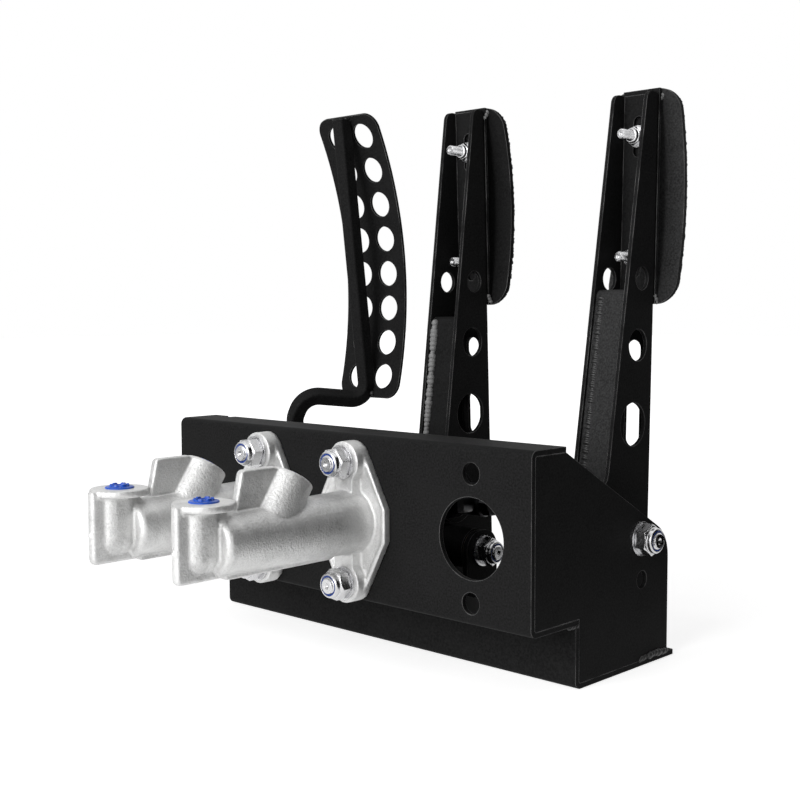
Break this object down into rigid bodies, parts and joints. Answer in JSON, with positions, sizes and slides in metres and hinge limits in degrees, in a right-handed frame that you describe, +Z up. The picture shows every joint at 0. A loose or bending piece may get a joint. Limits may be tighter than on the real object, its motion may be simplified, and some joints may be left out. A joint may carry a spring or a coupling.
{
  "type": "pedal box",
  "caption": "Floor mounted pedal box with clutch, brake and throttle pedals, a folded steel housing, twin master cylinders and a balance bar.",
  "frame": {"origin": "centre of the underside of the base plate", "axes": "+X to the driver's left, towards the clutch; +Y towards the driver; +Z up"},
  "size_m": [0.2636, 0.2492, 0.2779],
  "materials": {
    "powder_coat": "satin black powder coat on folded steel",
    "grip_coat": "coarse black grit",
    "cast_aluminium": "as cast",
    "zinc_steel": "bright zinc plated",
    "bare_steel": "turned",
    "piston_aluminium": "anodised",
    "bronze": "sintered bronze",
    "nylon_ring": "blue nylon",
    "plug_plastic": "moulded blue plastic",
    "boot_rubber": "black rubber"
  },
  "bodies": {
    "box": {"front_panel": "powder_coat", "base_panel": "powder_coat", "left_cheek": "powder_coat", "right_cheek": "powder_coat", "brake_lug_left": "powder_coat", "brake_lug_right": "powder_coat", "clutch_lug": "powder_coat", "throttle_lug": "powder_coat", "pivot_bolts": "zinc_steel", "pivot_sleeves": "bare_steel", "pivot_washers": "zinc_steel", "pivot_nuts": "zinc_steel", "pivot_nut_rings": "nylon_ring", "cylinder_left": "cast_aluminium", "cylinder_right": "cast_aluminium", "cylinder_bolts": "zinc_steel", "cylinder_washers": "zinc_steel", "cylinder_nuts": "zinc_steel", "cylinder_nut_rings": "nylon_ring", "outlet_plugs": "plug_plastic", "inlet_plugs": "plug_plastic", "piston_stop_rings": "bare_steel", "dust_boots": "boot_rubber"},
    "left_pushrod": {"piston_left": "piston_aluminium", "pushrod_left": "zinc_steel", "pushrod_nut_left": "zinc_steel", "trunnion_left": "bare_steel"},
    "right_pushrod": {"piston_right": "piston_aluminium", "pushrod_right": "zinc_steel", "pushrod_nut_right": "zinc_steel", "trunnion_right": "bare_steel"},
    "brake": {"brake_arm": "powder_coat", "brake_boxing_plate": "powder_coat", "brake_pivot_tube": "powder_coat", "brake_bushes": "bronze", "bias_tube": "powder_coat", "bias_bearing": "bare_steel", "brake_pad_strap": "powder_coat", "brake_pad": "powder_coat", "brake_pad_grip": "grip_coat", "brake_pad_studs": "zinc_steel", "brake_pad_nuts": "zinc_steel"},
    "balance_bar": {"balance_bar": "zinc_steel", "jam_nuts": "zinc_steel"},
    "clutch": {"clutch_arm": "powder_coat", "clutch_boxing_plate": "powder_coat", "clutch_pivot_tube": "powder_coat", "clutch_bushes": "bronze", "clutch_pin": "zinc_steel", "clutch_pin_clip": "bare_steel", "clutch_pad_strap": "powder_coat", "clutch_pad": "powder_coat", "clutch_pad_grip": "grip_coat", "clutch_pad_studs": "zinc_steel", "clutch_pad_nuts": "zinc_steel"},
    "throttle": {"throttle_face": "powder_coat", "throttle_bar": "powder_coat", "throttle_pivot_tube": "powder_coat", "throttle_bushes": "bronze", "throttle_lever": "powder_coat"}
  },
  "joints": [
    {"name": "brake_press", "type": "hinge", "parent": "box", "child": "brake", "pos_m": [0, 0.012, 0.042], "axis": [1, 0, 0], "range_deg": [0, 20], "stiffness_Nm_per_rad": 4, "springref_deg": -20.05},
    {"name": "left_pushrod_slide", "type": "slide", "parent": "box", "child": "left_pushrod", "axis": [0, -1, 0], "range_m": [0, 0.0095]},
    {"name": "right_pushrod_slide", "type": "slide", "parent": "box", "child": "right_pushrod", "axis": [0, -1, 0], "range_m": [0, 0.0095]},
    {"name": "balance_bar_spin", "type": "hinge", "parent": "brake", "child": "balance_bar", "pos_m": [0, 0.016, 0.0675], "axis": [1, 0, 0], "continuous": true},
    {"name": "clutch_press", "type": "hinge", "parent": "box", "child": "clutch", "pos_m": [0, 0.0095, 0.0608], "axis": [1, 0, 0], "range_deg": [0, 30]},
    {"name": "throttle_press", "type": "hinge", "parent": "box", "child": "throttle", "pos_m": [0, 0.012, 0.042], "axis": [1, 0, 0], "range_deg": [0, 25]}
  ],
  "couplings": [
    {"joint": "left_pushrod_slide", "follows": "brake_press", "m_per_rad": 0.0255},
    {"joint": "right_pushrod_slide", "follows": "brake_press", "m_per_rad": 0.0255}
  ]
}
